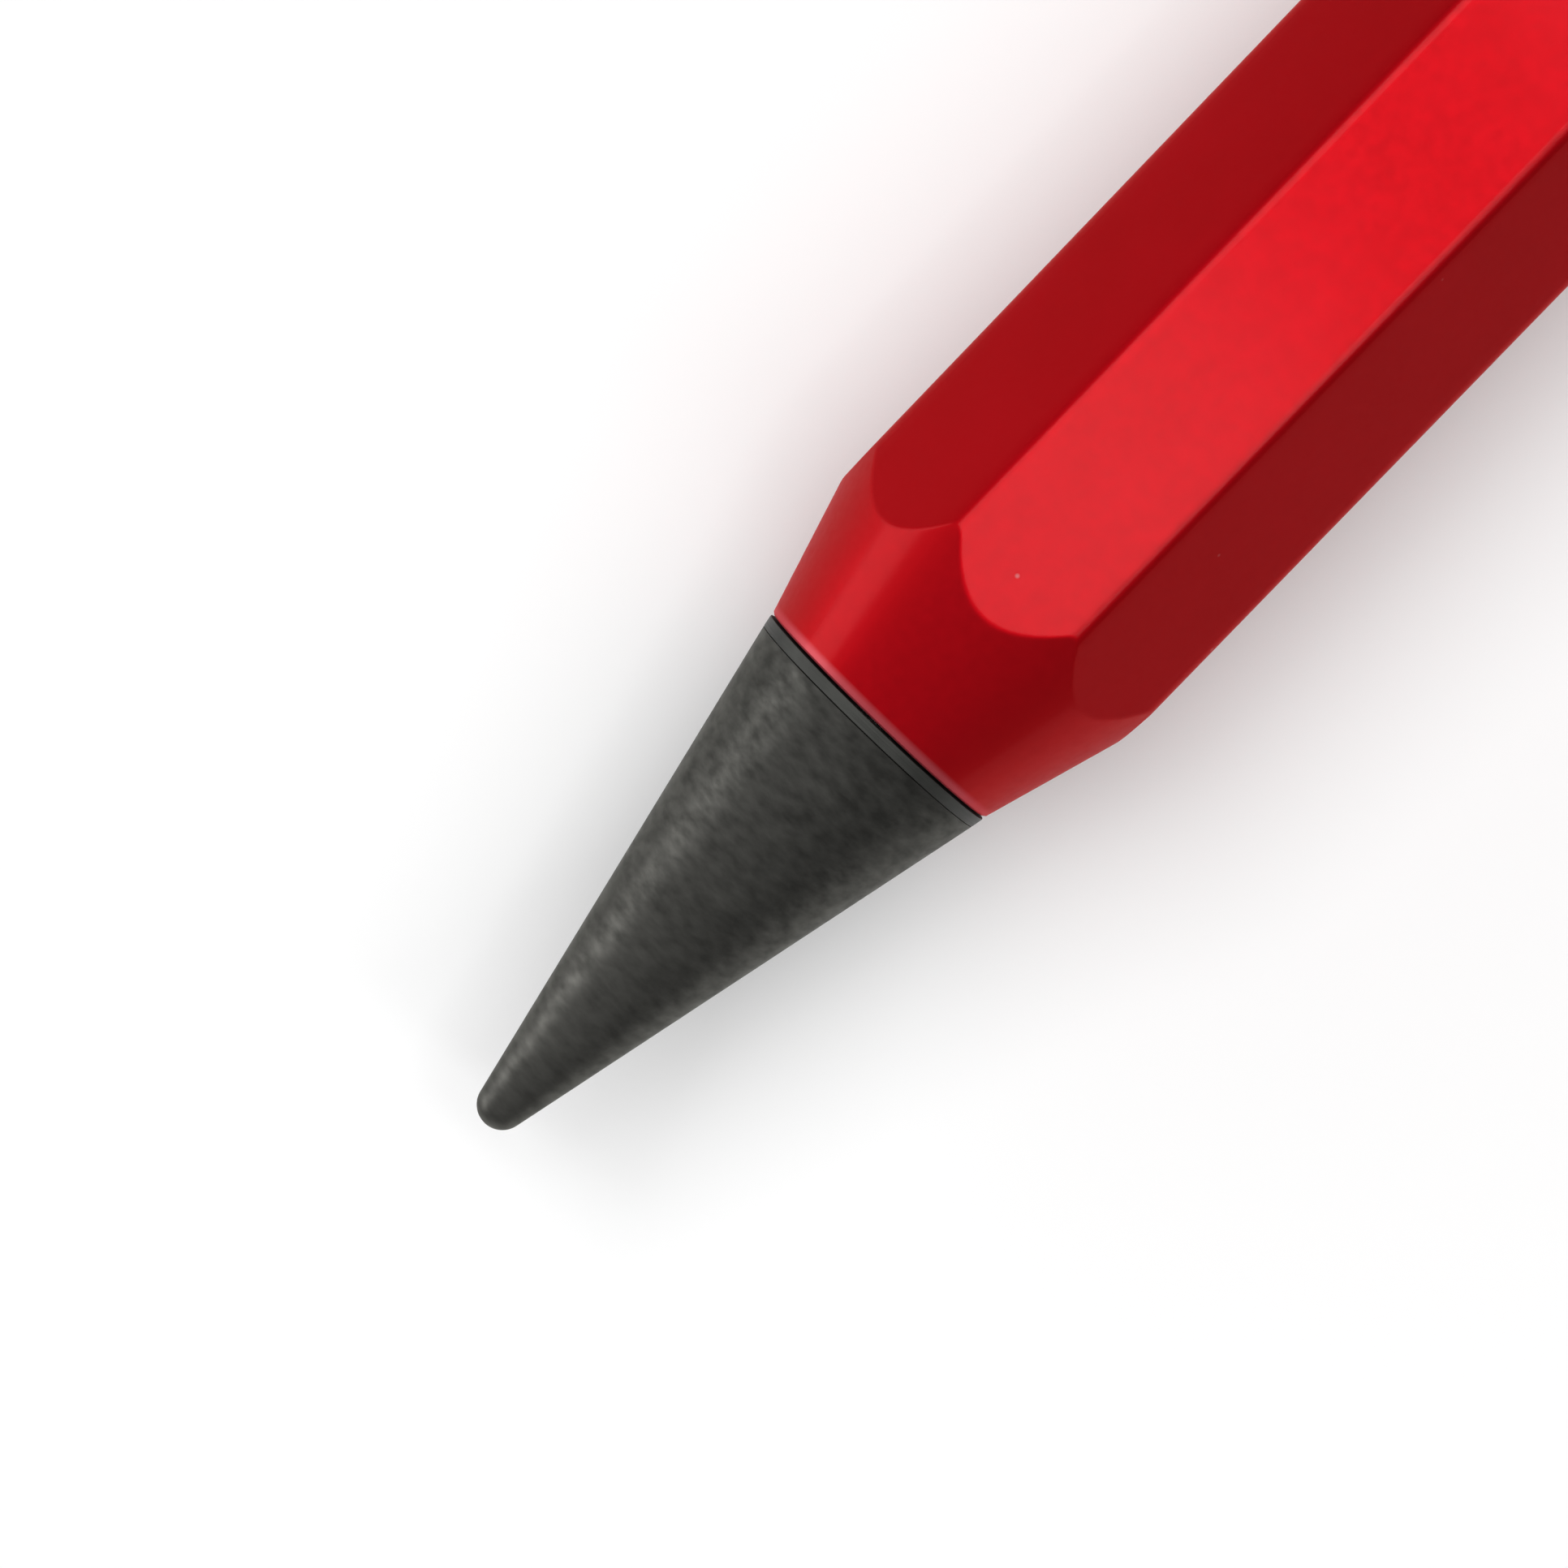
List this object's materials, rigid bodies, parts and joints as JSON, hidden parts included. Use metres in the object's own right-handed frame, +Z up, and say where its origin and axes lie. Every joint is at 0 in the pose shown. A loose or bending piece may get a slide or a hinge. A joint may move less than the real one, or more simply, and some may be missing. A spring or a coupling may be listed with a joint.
{
  "type": "lead holder",
  "caption": "Octagonal clutch lead holder with a turned nose, a full-width graphite point on a stem, a sprung jaw clutch inside and a push button at the rear.",
  "frame": {"origin": "below the middle of the whole length, on the surface that the barrel's lower flat rests on", "axes": "+X along the holder from the point to the push button, +Z up from the lower flat, +Y across the barrel"},
  "size_m": [0.14, 0.008, 0.008],
  "materials": {
    "red_barrel": "red satin gloss",
    "graphite": "turned matte",
    "grey_steel": "dark satin",
    "bright_steel": "satin",
    "spring_steel": "drawn wire",
    "brass": "turned"
  },
  "bodies": {
    "barrel": {"barrel": "red_barrel", "closing_bush": "brass", "guide_bush": "brass", "return_spring": "spring_steel", "rear_bush": "bright_steel"},
    "clutch": {"clutch_sleeve": "brass", "lead_tube": "bright_steel", "spring_collar": "brass", "retaining_ring": "spring_steel", "button_insert": "brass", "push_button": "bright_steel"},
    "jaw_1": {"clutch_jaw_1": "brass"},
    "jaw_2": {"clutch_jaw_2": "brass"},
    "jaw_3": {"clutch_jaw_3": "brass"},
    "point": {"graphite_point": "graphite", "point_collar": "grey_steel", "point_stem": "bright_steel"}
  },
  "joints": [
    {"name": "button_press", "type": "slide", "parent": "barrel", "child": "clutch", "axis": [-1, 0, 0], "range_m": [0, 0.0035], "stiffness_N_per_m": 600, "springref_m": -0.0025, "deforming": ["return_spring"]},
    {"name": "jaw_1_open", "type": "hinge", "parent": "clutch", "child": "jaw_1", "pos_m": [-0.04093, 0, 0.00551], "axis": [0, 1, 0], "range_deg": [0, 1.6]},
    {"name": "jaw_2_open", "type": "hinge", "parent": "clutch", "child": "jaw_2", "pos_m": [-0.04093, -0.00131, 0.00324], "axis": [0, -0.5, 0.866], "range_deg": [0, 1.6]},
    {"name": "jaw_3_open", "type": "hinge", "parent": "clutch", "child": "jaw_3", "pos_m": [-0.04093, 0.00131, 0.00324], "axis": [0, -0.5, -0.866], "range_deg": [0, 1.6]},
    {"name": "point_pull", "type": "slide", "parent": "clutch", "child": "point", "axis": [-1, 0, 0], "range_m": [0, 0.026]}
  ],
  "couplings": [
    {"joint": "jaw_1_open", "follows": "button_press", "rad_per_m": 7.48},
    {"joint": "jaw_2_open", "follows": "button_press", "rad_per_m": 7.48},
    {"joint": "jaw_3_open", "follows": "button_press", "rad_per_m": 7.48}
  ]
}
